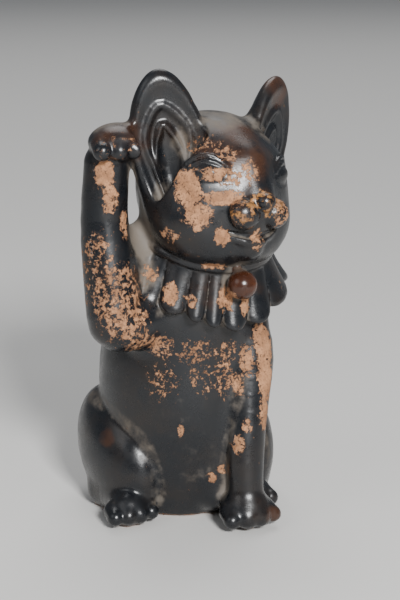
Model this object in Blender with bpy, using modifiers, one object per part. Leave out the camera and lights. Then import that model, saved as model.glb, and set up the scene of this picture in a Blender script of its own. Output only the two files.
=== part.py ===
"""Beckoning cat: a hollow press-moulded clay figure, luted together from separate pieces and fired.

Metres, +Z up. The figure sits on Z = 0 with the middle of its clay floor at the origin, and looks along
-Y. The cat's own right side, with the raised paw, is -X.
"""

from math import cos, radians, sin, tau

import bmesh
import bpy
from mathutils import Euler, Matrix, Vector

MM = 0.001
RIGHT = -1
LEFT = 1
UPRIGHT = Euler((0, 0, 0)).to_quaternion()

# Joints between pieces: the slip that holds them has shrunk to this
LUTE_GAP = 0.3 * MM

# Trunk
BODY_WIDTH = 59 * MM
BODY_DEPTH = 60 * MM
BODY_HEIGHT = 96 * MM
BODY_SETBACK = 5 * MM
BODY_SINK = 8 * MM
SEAT_SIZE = Vector((54, 50, 52)) * MM
SEAT_SETBACK = 8 * MM
SEAT_SINK = 14 * MM
CHEST_SIZE = Vector((49, 44, 50)) * MM
CHEST_OFFSET = Vector((2, -3)) * MM
CHEST_DROP = 20 * MM
NECK_OFFSET = Vector((2.5, -9)) * MM
NECK_DROP = 2 * MM
HAUNCH_SIZE = Vector((27, 52, 40)) * MM
HAUNCH_TURN = Euler((radians(35), 0, 0), "XYZ").to_quaternion()
HAUNCH_INSET = 7.5 * MM
HAUNCH_SETBACK = 10 * MM
WALL = 5 * MM
SEAM_Y = 4 * MM
BASE_THICKNESS = 4 * MM
VENT_DIAMETER = 9 * MM
VENT_SETBACK = 12 * MM

# Head, with its features placed in it as shares of the skull's half-sizes
HEAD_SIZE = Vector((50, 50, 48)) * MM
HEAD_LAP = 5.5 * MM
HEAD_OFFSET = Vector((2.5, -12)) * MM
HEAD_TURN = Euler((radians(5), radians(6), radians(9)), "XYZ").to_quaternion()
CHEEK_SIZE = Vector((28, 32, 26)) * MM
CHEEK_PLACE = (0.44, -0.28, -0.33)
MUZZLE_SIZE = Vector((22, 20, 18)) * MM
MUZZLE_PLACE = (0, -0.78, -0.04)
PAD_DIAMETER = 10.6 * MM
PAD_PLACE = (0.22, -1.06, -0.03)
NOSE_SIZE = Vector((8, 6.4, 6.4)) * MM
NOSE_PLACE = (0.03, -1.19, 0.18)
CHIN_SIZE = Vector((14, 15, 12)) * MM
CHIN_PLACE = (0, -0.86, -0.38)
BROW_DIAMETER = 9 * MM
BROW_PLACE = (0, -0.84, 0.42)
EYE_SIZE = Vector((10.4, 7.2, 6.8)) * MM
EYE_PLACE = (0.49, -0.80, 0.39)
EYE_SLANT = radians(28)

# Ears
EAR_PLACE = (0.772, 0, 0.54)
EAR_SHIFT = 0.7 * MM
EAR_WIDTH = 27 * MM
EAR_HEIGHT = 54 * MM
EAR_THICKNESS = 13 * MM
EAR_DISH_DEPTH = 5.5 * MM
EAR_DISH_WIDTH = 20 * MM
EAR_DISH_HEIGHT = 34 * MM
EAR_DISH_RISE = 7 * MM
EAR_PITCH = radians(-4)
EAR_LEAN = radians(15)
EAR_TURN = radians(24)

# Raised foreleg and paw
ARM_DIAMETER = 15.6 * MM
ELBOW_DIAMETER = 18.6 * MM
ELBOW_HEIGHT = 72.5 * MM
ELBOW_FORWARD = 13 * MM
WRIST_HEIGHT = 124 * MM
WRIST_FORWARD = 8 * MM
ARM_STANDOFF = 9 * MM
ARM_WEB_SIZE = Vector((22, 15, 40)) * MM
PAW_SIZE = Vector((19, 18, 13.5)) * MM
PAW_RISE = 10.6 * MM
PAW_REACH = 3 * MM
PAW_ASIDE = 1.6 * MM
TOES = 4
TOE_DIAMETER = 6 * MM
TOE_FAN = 1 * MM

# Standing foreleg and hind feet
LEG_DIAMETER = 12.4 * MM
LEG_OFFSET = 6.5 * MM
LEG_REACH = 6 * MM
SHOULDER_DIAMETER = 19 * MM
FOOT_SIZE = Vector((18, 18, 13)) * MM
HIND_FOOT_DIAMETER = 15 * MM
HIND_TOE_REACH = {RIGHT: 20 * MM, LEFT: 27 * MM}
HIND_TOE_ASIDE = {RIGHT: 6.4 * MM, LEFT: -5.5 * MM}

# Collar, bell and tail
COLLAR_DIAMETER = 43.5 * MM
# The neck fills the band, less this much in width, depth and height
NECK_LESS = Vector((3.5, 5.5, 13.5)) * MM
NECK_SIZE = Vector((COLLAR_DIAMETER, COLLAR_DIAMETER, COLLAR_DIAMETER)) - NECK_LESS
COLLAR_RISE = 4.5 * MM
COLLAR_TURN = Euler((radians(20), radians(2), 0), "XYZ").to_quaternion()
BAND_DIAMETER = 2.6 * MM
PLEATS = 22
PLEAT_DIAMETER = 7.2 * MM
PLEAT_ROOT_DIAMETER = 3.4 * MM
FRILL_FLARE = 7.5 * MM
FRILL_DROP = 15.5 * MM
BELL_DIAMETER = 9.8 * MM
BELL_DROP = 2.6 * MM
BELL_ANGLE = radians(1)
TAIL_DIAMETER = 11 * MM
TAIL_LENGTH = 24 * MM
TAIL_OFFSET = 6 * MM

# Fineness of the skins, and how many triangles each keeps
SKIN_VOXEL = 1.2 * MM
DETAIL_VOXEL = 0.8 * MM
CAVITY_VOXEL = 2.4 * MM
BODY_TRIANGLES = 3800
CAVITY_TRIANGLES = 700
FRILL_TRIANGLES = 2200
LIMB_TRIANGLES = 800
SMALL_TRIANGLES = 500
BEAD_TRIANGLES = 240
CUT_REACH = 1.0

# Finishes: colour, roughness
LACQUER = ((0.030, 0.026, 0.022), 0.30)
BROWN_GLAZE = ((0.085, 0.030, 0.015), 0.20)
BARE_CLAY = ((0.42, 0.22, 0.12), 0.85)


def clear_scene():
    for obj in list(bpy.data.objects):
        bpy.data.objects.remove(obj, do_unlink=True)


def new_collection(name):
    collection = bpy.data.collections.new(name)
    bpy.context.scene.collection.children.link(collection)
    return collection


def guide(name, data):
    """A shape that only helps to make a piece: wire display, and never rendered."""
    obj = bpy.data.objects.new(name, data)
    obj.hide_render = True
    obj.display_type = "WIRE"
    CUTTERS.objects.link(obj)
    return obj


def guide_from_bmesh(name, shape):
    mesh = bpy.data.meshes.new(name)
    shape.to_mesh(mesh)
    shape.free()
    return guide(name, mesh)


def evaluated_mesh(obj):
    graph = bpy.context.evaluated_depsgraph_get()
    return bpy.data.meshes.new_from_object(obj.evaluated_get(graph))


def apply_modifiers(obj):
    mesh = evaluated_mesh(obj)
    obj.modifiers.clear()
    obj.data = mesh
    return obj


# Simple shapes


def ball(centre, size, turn=UPRIGHT):
    """An ellipsoid of this full size along its own turned axes."""
    shape = bmesh.new()
    bmesh.ops.create_uvsphere(shape, u_segments=32, v_segments=16, radius=0.5)
    shape.transform(Matrix.LocRotScale(Vector(centre), turn, Vector(size)))
    return guide_from_bmesh("ball", shape)


def block(low, high):
    """A box between two corners."""
    low = Vector(low)
    high = Vector(high)
    shape = bmesh.new()
    bmesh.ops.create_cube(shape, size=1.0)
    shape.transform(Matrix.LocRotScale((low + high) / 2, UPRIGHT, high - low))
    return guide_from_bmesh("block", shape)


def upright_rod(centre, diameter, height):
    shape = bmesh.new()
    bmesh.ops.create_cone(
        shape, cap_ends=True, segments=32, radius1=diameter / 2, radius2=diameter / 2, depth=height
    )
    shape.transform(Matrix.Translation(Vector(centre)))
    return guide_from_bmesh("rod", shape)


def limb(points, diameters):
    """A tapered, smoothly bent roll of clay with rounded ends, as a list of overlapping shapes."""
    curve = bpy.data.curves.new("limb", "CURVE")
    curve.dimensions = "3D"
    curve.bevel_depth = 1.0
    curve.bevel_resolution = 5
    curve.resolution_u = 8
    curve.use_fill_caps = True
    spline = curve.splines.new("NURBS")
    spline.points.add(len(points) - 1)
    for knot, point, diameter in zip(spline.points, points, diameters):
        knot.co = (*point, 1.0)
        knot.radius = diameter / 2
    spline.order_u = min(4, len(points))
    spline.use_endpoint_u = True
    roll = guide("limb", curve)
    shape = bmesh.new()
    shape.from_mesh(evaluated_mesh(roll))
    bpy.data.objects.remove(roll, do_unlink=True)
    bmesh.ops.remove_doubles(shape, verts=shape.verts, dist=0.01 * MM)
    bmesh.ops.recalc_face_normals(shape, faces=shape.faces)
    tips = [ball(points[end], (diameters[end],) * 3) for end in (0, -1)]
    return [guide_from_bmesh("limb", shape), *tips]


# Joining, growing and cutting


def skin(name, shapes, voxel, softening, triangles):
    """One closed skin over overlapping shapes, softened like wiped clay and thinned."""
    joined = bmesh.new()
    for shape in shapes:
        joined.from_mesh(shape.data)
        bpy.data.objects.remove(shape, do_unlink=True)
    obj = guide_from_bmesh(name, joined)
    remesh = obj.modifiers.new("skin", "REMESH")
    remesh.mode = "VOXEL"
    remesh.voxel_size = voxel
    wipe = obj.modifiers.new("wipe", "SMOOTH")
    wipe.factor = 0.5
    wipe.iterations = softening
    apply_modifiers(obj)
    fine_triangles = 2 * len(obj.data.polygons)
    thin = obj.modifiers.new("thin", "DECIMATE")
    thin.ratio = min(1.0, triangles / fine_triangles)
    return apply_modifiers(obj)


def grown(obj, distance):
    """A copy whose surface stands this far outside the original."""
    copy = guide(obj.name + "_grown", obj.data.copy())
    grow = copy.modifiers.new("grow", "DISPLACE")
    grow.strength = distance
    grow.mid_level = 0.0
    return apply_modifiers(copy)


def boolean(obj, other, operation):
    cut = obj.modifiers.new(other.name, "BOOLEAN")
    cut.object = other
    cut.operation = operation
    cut.solver = "EXACT"
    return apply_modifiers(obj)


def bodies_of(shape):
    """The sets of vertices that edges join."""
    unseen = set(shape.verts)
    bodies = []
    while unseen:
        edge_of_search = [unseen.pop()]
        body = set(edge_of_search)
        while edge_of_search:
            vert = edge_of_search.pop()
            found = {edge.other_vert(vert) for edge in vert.link_edges} & unseen
            unseen -= found
            body |= found
            edge_of_search.extend(found)
        bodies.append(body)
    return bodies


def keep_largest(obj):
    """A cut can shave off loose crumbs: only the largest body is the piece."""
    shape = bmesh.new()
    shape.from_mesh(obj.data)
    for crumb in sorted(bodies_of(shape), key=len)[:-1]:
        bmesh.ops.delete(shape, geom=list(crumb), context="VERTS")
    shape.to_mesh(obj.data)
    shape.free()
    return obj


def ground():
    """Everything below the surface that the figure sits on."""
    return block((-CUT_REACH, -CUT_REACH, -CUT_REACH), (CUT_REACH, CUT_REACH, 0))


def fitted(form, neighbours):
    """A copy of the form, cut back from each neighbour's form by the luting gap."""
    piece = guide(form.name + "_cut", form.data.copy())
    for neighbour in neighbours:
        boolean(piece, grown(neighbour, LUTE_GAP), "DIFFERENCE")
    boolean(piece, ground(), "DIFFERENCE")
    return keep_largest(piece)


# Places that several pieces share


def neck_centre():
    return Vector((*NECK_OFFSET, BODY_HEIGHT - NECK_DROP))


def collar_centre():
    return neck_centre() + Vector((0, 0, COLLAR_RISE))


def head_centre():
    return Vector((*HEAD_OFFSET, BODY_HEIGHT + HEAD_SIZE.z / 2 - HEAD_LAP))


def on_head(place, side=LEFT):
    """A point placed in the turned head by shares of the skull's half-sizes, on either side."""
    x, y, z = place
    half = HEAD_SIZE / 2
    return head_centre() + HEAD_TURN @ Vector((side * x * half.x, y * half.y, z * half.z))


def haunch_centre(side):
    across = side * (BODY_WIDTH / 2 - HAUNCH_INSET)
    return Vector((across, HAUNCH_SETBACK, HAUNCH_SIZE.z / 2))


def belly_front():
    return BODY_SETBACK - BODY_DEPTH / 2


def arm_x():
    """The raised arm stands beside the skull, so that the paw still meets the ear."""
    return -(HEAD_SIZE.x / 2 + ARM_STANDOFF)


def wrist():
    return Vector((arm_x(), -WRIST_FORWARD, WRIST_HEIGHT))


def on_collar(angle, radius, drop):
    """A point round the neck, at an angle from the front, measured in the collar's tilted plane."""
    return collar_centre() + COLLAR_TURN @ Vector((radius * sin(angle), -radius * cos(angle), -drop))


# The pressed body and head, and the hollow inside them


def trunk_parts(shrink):
    """The big rounded masses of body and head, each made smaller all round by the same amount."""
    less = Vector((2, 2, 2)) * shrink
    torso_size = Vector((BODY_WIDTH, BODY_DEPTH, BODY_HEIGHT + BODY_SINK))
    return [
        ball((0, BODY_SETBACK, (BODY_HEIGHT - BODY_SINK) / 2), torso_size - less),
        ball((0, SEAT_SETBACK, SEAT_SIZE.z / 2 - SEAT_SINK), SEAT_SIZE - less),
        ball((*CHEST_OFFSET, BODY_HEIGHT - CHEST_DROP), CHEST_SIZE - less),
        ball(neck_centre(), NECK_SIZE - less),
        ball(head_centre(), HEAD_SIZE - less, HEAD_TURN),
    ]


def face_parts():
    shapes = limb([on_head(BROW_PLACE), on_head(NOSE_PLACE)], [BROW_DIAMETER, NOSE_SIZE.z])
    shapes.append(ball(on_head(MUZZLE_PLACE), MUZZLE_SIZE, HEAD_TURN))
    shapes.append(ball(on_head(NOSE_PLACE), NOSE_SIZE, HEAD_TURN))
    shapes.append(ball(on_head(CHIN_PLACE), CHIN_SIZE, HEAD_TURN))
    for side in (RIGHT, LEFT):
        slant = HEAD_TURN @ Euler((0, 0, side * EYE_SLANT)).to_quaternion()
        shapes.append(ball(on_head(CHEEK_PLACE, side), CHEEK_SIZE, HEAD_TURN))
        shapes.append(ball(on_head(PAD_PLACE, side), (PAD_DIAMETER,) * 3))
        shapes.append(ball(on_head(EYE_PLACE, side), EYE_SIZE, slant))
    return shapes


def toes(knuckles, spread, reach):
    """A row of short toes in front of a paw, fanned a little."""
    row = []
    for number in range(TOES):
        from_middle = number - (TOES - 1) / 2
        start = knuckles + Vector((spread * from_middle / (TOES - 1), 0, 0))
        end = start + reach + Vector((0, abs(from_middle) * TOE_FAN, 0))
        row += limb([start, end], [TOE_DIAMETER, 0.9 * TOE_DIAMETER])
    return row


def hind_foot(side):
    """A long foot that lies under the haunch with its toes forward."""
    haunch = haunch_centre(side)
    sole_height = HIND_FOOT_DIAMETER / 2 - 2 * MM
    heel = Vector((haunch.x + side * 4 * MM, haunch.y - 4 * MM, sole_height))
    toes_x = haunch.x + side * HIND_TOE_ASIDE[side]
    knuckles = Vector((toes_x, haunch.y - HIND_TOE_REACH[side], sole_height))
    foot = limb([heel, knuckles], [HIND_FOOT_DIAMETER] * 2)
    return foot + toes(knuckles, 0.72 * HIND_FOOT_DIAMETER, Vector((0, -6.5, -1.5)) * MM)


def body_form():
    haunches = [ball(haunch_centre(side), HAUNCH_SIZE, HAUNCH_TURN) for side in (RIGHT, LEFT)]
    shapes = trunk_parts(0) + haunches + face_parts() + hind_foot(RIGHT) + hind_foot(LEFT)
    return skin("body_form", shapes, SKIN_VOXEL, 3, BODY_TRIANGLES)


def cavity_form():
    """The hollow inside the body and head, open at the foot. The haunches are pressed solid."""
    return skin("cavity_form", trunk_parts(WALL), CAVITY_VOXEL, 2, CAVITY_TRIANGLES)


# The forms of the pieces that are luted on


def ear_form(side):
    """A long oval leaf, mostly buried in the head at its root, and dished in front."""
    centre = on_head(EAR_PLACE, side) + HEAD_TURN @ Vector((EAR_SHIFT, 0, 0))
    turn = HEAD_TURN @ Euler((EAR_PITCH, side * EAR_LEAN, side * EAR_TURN), "XYZ").to_quaternion()
    leaf = ball(centre, (EAR_WIDTH, EAR_THICKNESS, EAR_HEIGHT), turn)
    form = skin("ear_form", [leaf], DETAIL_VOXEL, 2, SMALL_TRIANGLES)
    dish_centre = centre + turn @ Vector((0, -EAR_THICKNESS / 2, EAR_DISH_RISE))
    dish_size = Vector((EAR_DISH_WIDTH, 2 * EAR_DISH_DEPTH, EAR_DISH_HEIGHT))
    return boolean(form, ball(dish_centre, dish_size, turn), "DIFFERENCE")


def arm_form():
    """The raised foreleg, from inside the shoulder round the elbow to the wrist, with its web of skin."""
    elbow = Vector((arm_x() + 1.7 * MM, -ELBOW_FORWARD, ELBOW_HEIGHT))
    shoulder = elbow + Vector((14, 5, 2)) * MM
    lower = Vector((arm_x() - 0.2 * MM, 1.5 * MM - ELBOW_FORWARD, ELBOW_HEIGHT + ELBOW_DIAMETER / 2))
    upper = Vector((arm_x() - 1 * MM, -WRIST_FORWARD, 0.36 * ELBOW_HEIGHT + 0.64 * WRIST_HEIGHT))
    middle = (ELBOW_DIAMETER + ARM_DIAMETER) / 2
    roll = limb(
        [shoulder, elbow, lower, upper, wrist()],
        [ELBOW_DIAMETER, ELBOW_DIAMETER, middle, ARM_DIAMETER, ARM_DIAMETER],
    )
    web_centre = Vector((arm_x() + 13 * MM, -6 * MM, ELBOW_HEIGHT + 15 * MM))
    return skin("arm_form", [*roll, ball(web_centre, ARM_WEB_SIZE)], SKIN_VOXEL, 3, LIMB_TRIANGLES)


def paw_form():
    """The raised paw, bent forward over the wrist with its toes down."""
    centre = wrist() + Vector((PAW_ASIDE, -PAW_REACH, PAW_RISE))
    knuckles = centre + Vector((0, -2.5, -0.5)) * MM
    row = toes(knuckles, 0.68 * PAW_SIZE.x, Vector((0, -5.5, -2)) * MM)
    return skin("paw_form", [ball(centre, PAW_SIZE), *row], DETAIL_VOXEL, 2, SMALL_TRIANGLES)


def leg_form():
    """The standing foreleg, from the shoulder to the paw, with the clay that backs it onto the belly."""
    front = belly_front()
    foot = Vector((LEG_OFFSET, front - LEG_REACH, FOOT_SIZE.z / 2))
    shoulder = Vector((LEG_OFFSET + 4.5 * MM, front + 13 * MM, 0.79 * BODY_HEIGHT))
    upper = Vector((LEG_OFFSET + 6.5 * MM, front + 7 * MM, 0.625 * BODY_HEIGHT))
    middle = Vector((LEG_OFFSET + 4 * MM, front + 1 * MM, 0.44 * BODY_HEIGHT))
    lower = Vector((LEG_OFFSET + 1 * MM, front - 3.5 * MM, 0.25 * BODY_HEIGHT))
    ankle = foot + Vector((0.5, 0, 3.5)) * MM
    roll = limb(
        [shoulder, upper, middle, lower, ankle],
        [
            SHOULDER_DIAMETER,
            SHOULDER_DIAMETER,
            (SHOULDER_DIAMETER + LEG_DIAMETER) / 2,
            LEG_DIAMETER,
            LEG_DIAMETER,
        ],
    )
    back = Vector((-0.15, 0.65, 0)) * LEG_DIAMETER
    web = limb([middle + back, lower + 1.1 * back, ankle + 1.8 * back], [0.9 * LEG_DIAMETER] * 3)
    row = toes(foot, 0.7 * FOOT_SIZE.x, Vector((0, -7, -2)) * MM)
    shapes = [*roll, *web, ball(foot, FOOT_SIZE), *row]
    return skin("leg_form", shapes, DETAIL_VOXEL, 2, LIMB_TRIANGLES)


def band_form():
    """The rolled collar band round the neck."""
    bpy.ops.mesh.primitive_torus_add(
        major_segments=48, minor_segments=8, major_radius=COLLAR_DIAMETER / 2, minor_radius=BAND_DIAMETER / 2
    )
    torus = bpy.context.object
    mesh = torus.data.copy()
    bpy.data.objects.remove(torus, do_unlink=True)
    mesh.transform(Matrix.LocRotScale(collar_centre(), COLLAR_TURN, None))
    return guide("band_form", mesh)


def frill_form():
    """A strip of clay pinched into thick pleats that flare out below the band."""
    inner = COLLAR_DIAMETER / 2
    middle = inner + 0.7 * FRILL_FLARE
    outer = inner + FRILL_FLARE
    pitch = tau / PLEATS
    shapes = []
    for number in range(PLEATS):
        crest = pitch * (number + 0.5)
        valley = pitch * number
        crest_points = [
            on_collar(crest, inner, BAND_DIAMETER / 2),
            on_collar(crest, middle, 0.5 * FRILL_DROP),
            on_collar(crest, outer, FRILL_DROP),
        ]
        valley_points = [
            on_collar(valley, inner, BAND_DIAMETER / 2),
            on_collar(valley, middle, 0.9 * FRILL_DROP),
        ]
        shapes += limb(crest_points, [PLEAT_ROOT_DIAMETER, 0.8 * PLEAT_DIAMETER, PLEAT_DIAMETER])
        shapes += limb(valley_points, [PLEAT_ROOT_DIAMETER, 0.6 * PLEAT_DIAMETER])
    return skin("frill_form", shapes, DETAIL_VOXEL, 2, FRILL_TRIANGLES)


def bell_form():
    """A ball bell that hangs against the front of the collar."""
    stand_out = COLLAR_DIAMETER / 2 + BAND_DIAMETER / 2 + BELL_DIAMETER / 2
    hung = ball(on_collar(BELL_ANGLE, stand_out, BELL_DROP), (BELL_DIAMETER,) * 3)
    return skin("bell_form", [hung], DETAIL_VOXEL, 2, BEAD_TRIANGLES)


def tail_form():
    """A short bobbed tail laid up against the back."""
    root = Vector((TAIL_OFFSET, BODY_SETBACK + BODY_DEPTH / 2 - 1 * MM, TAIL_LENGTH / 2))
    bend = root + Vector((3 * MM, 6 * MM, TAIL_LENGTH / 2))
    tip = root + Vector((-4 * MM, -1 * MM, TAIL_LENGTH))
    return skin("tail_form", limb([root, bend, tip], [TAIL_DIAMETER] * 3), SKIN_VOXEL, 2, BEAD_TRIANGLES)


# Pieces


def shell_half(form, cavity, other_half):
    """Half of the pressed body and head, on one side of the mould seam."""
    half = guide("half", form.data.copy())
    boolean(half, ground(), "DIFFERENCE")
    boolean(half, cavity, "DIFFERENCE")
    boolean(half, other_half, "DIFFERENCE")
    return keep_largest(half)


def in_front_of_seam():
    return block((-CUT_REACH, -CUT_REACH, -CUT_REACH), (CUT_REACH, SEAM_Y + LUTE_GAP / 2, CUT_REACH))


def behind_seam():
    return block((-CUT_REACH, SEAM_Y - LUTE_GAP / 2, -CUT_REACH), (CUT_REACH, CUT_REACH, CUT_REACH))


def base_slab(cavity):
    """The clay floor luted into the foot, with the hole that lets steam out in the kiln."""
    slab = grown(cavity, -LUTE_GAP)
    boolean(slab, block((-CUT_REACH, -CUT_REACH, 0), (CUT_REACH, CUT_REACH, BASE_THICKNESS)), "INTERSECT")
    vent = upright_rod((0, VENT_SETBACK, 0), VENT_DIAMETER, 4 * BASE_THICKNESS)
    return boolean(slab, vent, "DIFFERENCE")


def material(name, finish):
    colour, roughness = finish
    made = bpy.data.materials.new(name)
    made.use_nodes = True
    shader = made.node_tree.nodes["Principled BSDF"]
    shader.inputs["Base Color"].default_value = (*colour, 1.0)
    shader.inputs["Roughness"].default_value = roughness
    shader.inputs["Metallic"].default_value = 0.0
    return made


def finish_piece(name, obj, finish, origin, parent):
    """Names a piece, moves its origin to where it meets the figure, and shades it smooth."""
    mesh = obj.data
    mesh.name = name
    mesh.transform(Matrix.Translation(-Vector(origin)))
    mesh.shade_smooth()
    mesh.set_sharp_from_angle(angle=radians(40))
    mesh.materials.clear()
    mesh.materials.append(material(name, finish))
    obj.name = name
    obj.location = origin
    obj.parent = parent
    obj.hide_render = False
    obj.display_type = "TEXTURED"
    CUTTERS.objects.unlink(obj)
    PIECES.objects.link(obj)


def build():
    figure = bpy.data.objects.new("figure", None)
    PIECES.objects.link(figure)

    body = body_form()
    cavity = cavity_form()
    right_ear = ear_form(RIGHT)
    left_ear = ear_form(LEFT)
    paw = paw_form()
    arm = arm_form()
    leg = leg_form()
    band = band_form()
    bell = bell_form()
    frill = frill_form()
    tail = tail_form()

    seam_foot = (0, SEAM_Y, 0)
    slab_middle = (0, SEAT_SETBACK, 0)
    elbow_side = (arm_x(), -ELBOW_FORWARD, ELBOW_HEIGHT)
    leg_foot = (LEG_OFFSET, belly_front(), 0)
    tail_root = (TAIL_OFFSET, BODY_SETBACK + BODY_DEPTH / 2, 0)
    pieces = [
        ("front_shell", shell_half(body, cavity, behind_seam()), LACQUER, seam_foot),
        ("rear_shell", shell_half(body, cavity, in_front_of_seam()), LACQUER, seam_foot),
        ("base_slab", base_slab(cavity), BARE_CLAY, slab_middle),
        ("right_ear", fitted(right_ear, [body]), LACQUER, on_head(EAR_PLACE, RIGHT)),
        ("left_ear", fitted(left_ear, [body]), LACQUER, on_head(EAR_PLACE, LEFT)),
        ("raised_paw", fitted(paw, [body, right_ear]), LACQUER, wrist()),
        ("raised_foreleg", fitted(arm, [body, right_ear, paw]), LACQUER, elbow_side),
        ("collar_band", fitted(band, [body, arm]), LACQUER, neck_centre()),
        ("bell", fitted(bell, [body, band]), BROWN_GLAZE, on_collar(BELL_ANGLE, COLLAR_DIAMETER / 2, 0)),
        ("collar_frill", fitted(frill, [body, arm, band, bell]), LACQUER, neck_centre()),
        ("standing_foreleg", fitted(leg, [body, band, frill]), LACQUER, leg_foot),
        ("tail", fitted(tail, [body]), LACQUER, tail_root),
    ]
    for name, obj, finish, origin in pieces:
        finish_piece(name, obj, finish, origin, figure)


clear_scene()
PIECES = new_collection("beckoning_cat")
CUTTERS = new_collection("cutters")
CUTTERS.hide_render = True
build()
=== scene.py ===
"""The looks of a beckoning cat: hollow pressed clay under a worn black lacquer.

The whole figure is sculpted as one distance field, in millimetres in the row frame, and placed by the
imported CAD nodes. Each node is then replaced by its own share of that field, so that the luted joints run
on from piece to piece without a step. Points are passed round as 3 x N arrays.
"""

from itertools import product
from math import cos, pi, radians, sin

import bpy
import numpy as np
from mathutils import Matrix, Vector


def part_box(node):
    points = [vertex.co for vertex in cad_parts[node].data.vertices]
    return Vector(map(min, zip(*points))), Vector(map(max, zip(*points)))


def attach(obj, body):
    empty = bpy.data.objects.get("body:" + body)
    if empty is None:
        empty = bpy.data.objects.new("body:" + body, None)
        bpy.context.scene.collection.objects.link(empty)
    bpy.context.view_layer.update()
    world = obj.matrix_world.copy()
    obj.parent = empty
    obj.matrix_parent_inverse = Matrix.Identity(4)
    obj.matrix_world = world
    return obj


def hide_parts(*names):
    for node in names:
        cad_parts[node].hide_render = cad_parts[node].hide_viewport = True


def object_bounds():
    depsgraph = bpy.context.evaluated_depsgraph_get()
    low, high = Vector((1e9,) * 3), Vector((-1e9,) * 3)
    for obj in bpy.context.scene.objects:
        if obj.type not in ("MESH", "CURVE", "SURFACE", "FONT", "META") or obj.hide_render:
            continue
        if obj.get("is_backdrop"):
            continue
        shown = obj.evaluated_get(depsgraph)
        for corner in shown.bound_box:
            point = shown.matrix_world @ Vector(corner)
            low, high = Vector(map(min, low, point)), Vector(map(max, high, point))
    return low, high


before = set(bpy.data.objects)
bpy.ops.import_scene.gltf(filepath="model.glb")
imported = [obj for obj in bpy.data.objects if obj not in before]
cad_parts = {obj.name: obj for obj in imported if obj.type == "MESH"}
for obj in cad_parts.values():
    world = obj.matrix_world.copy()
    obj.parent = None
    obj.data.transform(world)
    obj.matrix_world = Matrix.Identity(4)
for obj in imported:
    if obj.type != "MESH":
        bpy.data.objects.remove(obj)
cad_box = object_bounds()

MM_PER_M = 1000.0
LEFT, RIGHT = 1, -1
TINY = 1e-6

# Fineness of the sculpt: the grid's step in millimetres, a smaller one for small pieces, and how often a
# coarse cell near the surface is halved before that step is reached
STEP = 0.68
FINE_SHARE = 0.66
FINE_PIECES = ("raised_paw", "right_ear", "left_ear", "bell", "collar_band")
LEVELS = 3
POINTS_AT_ONCE = 200_000
# How far neighbouring pieces run into each other at a luted joint
OVERLAP = 0.6

# Pieces: CAD node, material slot
SLOTS = {
    "front_shell": "lacquer",
    "rear_shell": "lacquer",
    "base_slab": "bare_clay",
    "right_ear": "lacquer",
    "left_ear": "lacquer",
    "raised_foreleg": "lacquer",
    "raised_paw": "lacquer",
    "standing_foreleg": "lacquer",
    "collar_band": "lacquer",
    "collar_frill": "lacquer",
    "bell": "bell_glaze",
    "tail": "lacquer",
}


# Places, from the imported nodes


def node_box(name):
    """The lowest and highest corners of a CAD node, in millimetres."""
    return [np.array(corner, np.float32) * MM_PER_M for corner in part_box(name)]


def middle(name):
    """The middle of a CAD node's box, in millimetres."""
    low, high = node_box(name)
    return (low + high) / 2


def rotation(x=0.0, y=0.0, z=0.0):
    """The matrix that turns by these degrees about x, then y, then z."""
    a, b, c = radians(x), radians(y), radians(z)
    about_x = np.array([[1, 0, 0], [0, cos(a), -sin(a)], [0, sin(a), cos(a)]])
    about_y = np.array([[cos(b), 0, sin(b)], [0, 1, 0], [-sin(b), 0, cos(b)]])
    about_z = np.array([[cos(c), -sin(c), 0], [sin(c), cos(c), 0], [0, 0, 1]])
    return (about_z @ about_y @ about_x).astype(np.float32)


BOXES = {name: node_box(name) for name in SLOTS}
COLLAR = middle("collar_band")
NECK = COLLAR - (0.15, 0, 4.5)
COLLAR_TURN = rotation(20, 2, 0)
HEAD = NECK + (0, -3, 20.5)
HEAD_TURN = rotation(5, 6, 9)
PAW = middle("raised_paw")
BELL = middle("bell")
BELL_RADIUS = (node_box("bell")[1][0] - node_box("bell")[0][0]) / 2
FOOT = node_box("standing_foreleg")[0] + (9.1, 9.2, 6.4)
HAUNCH_X = BOXES["rear_shell"][1][0] - 13.4
HAUNCH_TURN = rotation(35, 0, 0)
HAUNCH_BOX = {LEFT: ((2, -36, -3), (36, 40, 48)), RIGHT: ((-36, -36, -3), (-2, 40, 48))}
SKULL_BOX = (HEAD - 36, HEAD + 32)
TAIL = middle("tail")
SLAB_TOP = node_box("base_slab")[1][2]
SEAM_Y = (node_box("front_shell")[1][1] + node_box("rear_shell")[0][1]) / 2
WALL = 5.0
VENT = (0.0, 12.0)
VENT_RADIUS = 4.5
EAR_TURN = {side: HEAD_TURN @ rotation(-4, side * 15, side * 24) for side in (LEFT, RIGHT)}
EAR_HALF_WIDTH = {LEFT: 13.4, RIGHT: 12.4}
# The left eye sits nearer the nose than the right one
EYE_SHIFT = {LEFT: (-1.5, -0.9, 0), RIGHT: (0, 0, 0)}
EAR = {
    LEFT: HEAD + HEAD_TURN @ np.array((20.0, 0, 13.0)),
    RIGHT: HEAD + HEAD_TURN @ np.array((-19.5, 0, 13.0)),
}


# Distance fields


def length(q):
    """Each point's distance from the origin."""
    return np.sqrt(q[0] * q[0] + q[1] * q[1] + q[2] * q[2])


def column(values):
    """Three numbers as a 3 x 1 array, which combines with an array of points."""
    return np.array(values, np.float32)[:, None]


def local(p, centre, turn):
    """The points as seen from a turned frame."""
    return turn.T @ (p - column(centre))


def ball(p, centre, radii, turn=None):
    """Roughly the distance to an ellipsoid with these radii."""
    q = p - column(centre)
    if turn is not None:
        q = turn.T @ q
    scaled = q / column(radii)
    reach = length(scaled)
    return reach * (reach - 1) / (length(scaled / column(radii)) + TINY)


def rod(p, start, end, start_radius, end_radius):
    """A straight rod with round ends, tapered from one radius to the other."""
    q = p - column(start)
    along = column(end) - column(start)
    share = np.clip((along * q).sum(0) / (along * along).sum(), 0, 1)
    return length(q - along * share) - (start_radius + (end_radius - start_radius) * share)


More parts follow.
